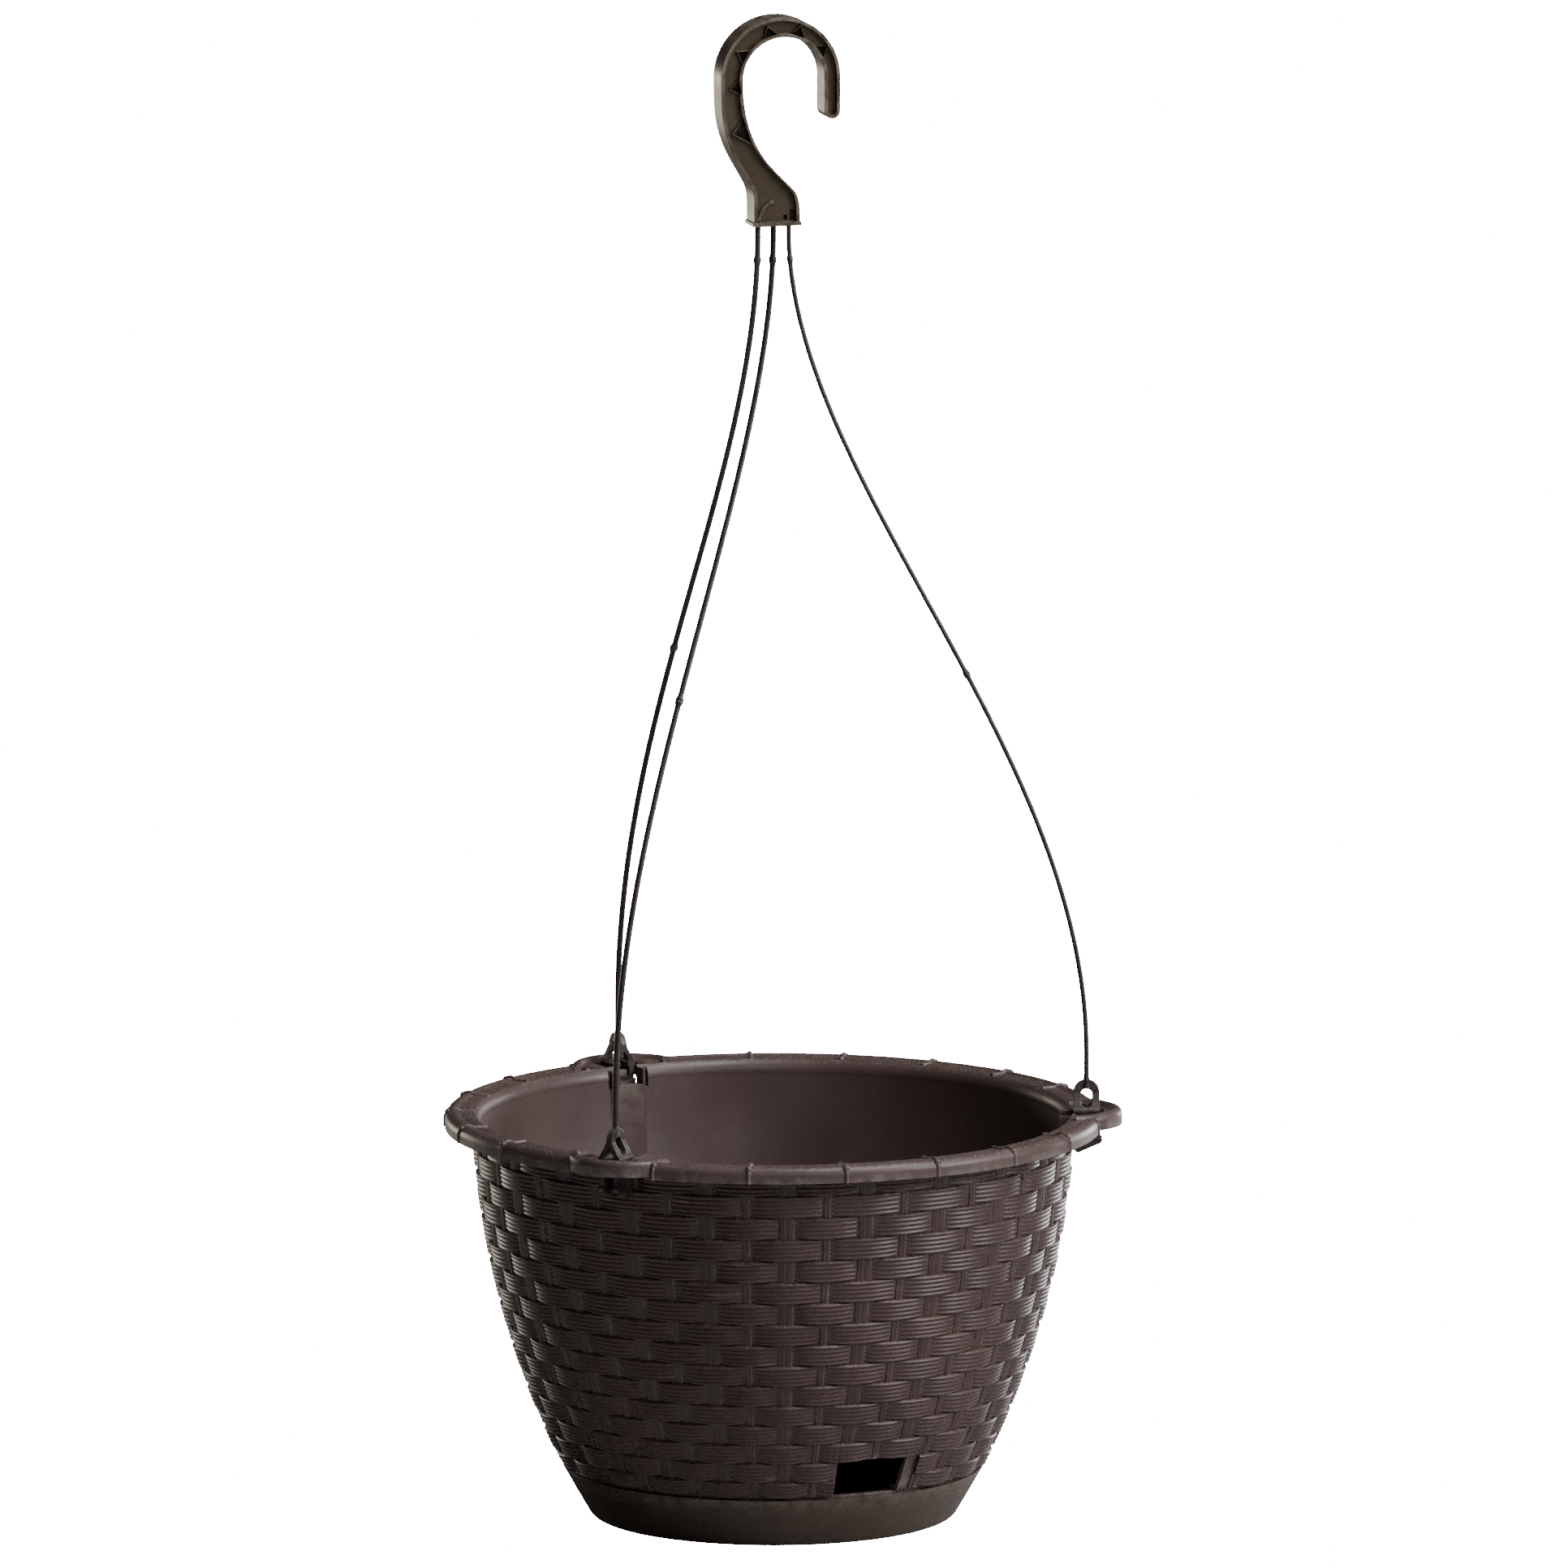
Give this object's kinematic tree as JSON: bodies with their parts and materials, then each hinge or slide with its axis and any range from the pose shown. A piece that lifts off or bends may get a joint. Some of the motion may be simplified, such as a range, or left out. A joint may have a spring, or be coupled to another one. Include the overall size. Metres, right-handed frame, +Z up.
{
  "type": "hanging basket",
  "caption": "Moulded hanging plant pot with woven-look wall, drip saucer, snap-in strand clips and a turning hook.",
  "frame": {"origin": "centre of the saucer's flat underside, on the pot's axis", "axes": "+Z up along the pot's axis towards the hook, +X towards one of the three rim ears, -Y the front"},
  "size_m": [0.2481, 0.2406, 0.5536],
  "materials": {
    "basket_plastic": "satin moulded polypropylene",
    "saucer_plastic": "smooth satin polypropylene",
    "hook_plastic": "satin polypropylene",
    "strand_plastic": "satin polypropylene"
  },
  "bodies": {
    "pot": {"pot": "basket_plastic"},
    "saucer": {"drip_saucer": "saucer_plastic"},
    "hook": {"hanger_hook": "hook_plastic", "strand_right": "strand_plastic", "strand_back": "strand_plastic", "strand_front": "strand_plastic"},
    "clip_right": {"clip_right": "strand_plastic"},
    "clip_back": {"clip_back": "strand_plastic"},
    "clip_front": {"clip_front": "strand_plastic"}
  },
  "joints": [
    {"name": "saucer_release", "type": "slide", "parent": "pot", "child": "saucer", "axis": [0, 0, -1], "range_m": [0, 0.035]},
    {"name": "hook_turn", "type": "hinge", "parent": "pot", "child": "hook", "pos_m": [0, 0, 0.477], "axis": [0, 0, 1], "range_deg": [-60, 60], "stiffness_Nm_per_rad": 0.02, "deforming": ["strand_right", "strand_back", "strand_front"]},
    {"name": "clip_right_rock", "type": "hinge", "parent": "pot", "child": "clip_right", "pos_m": [0.1143, 0, 0.1474], "axis": [0, -1, 0], "range_deg": [-2, 8], "stiffness_Nm_per_rad": 0.02, "deforming": ["strand_right"]},
    {"name": "clip_back_rock", "type": "hinge", "parent": "pot", "child": "clip_back", "pos_m": [-0.05715, 0.09899, 0.1474], "axis": [0.866, 0.5, 0], "range_deg": [-2, 8], "stiffness_Nm_per_rad": 0.02, "deforming": ["strand_back"]},
    {"name": "clip_front_rock", "type": "hinge", "parent": "pot", "child": "clip_front", "pos_m": [-0.05715, -0.09899, 0.1474], "axis": [-0.866, 0.5, 0], "range_deg": [-2, 8], "stiffness_Nm_per_rad": 0.02, "deforming": ["strand_front"]}
  ]
}
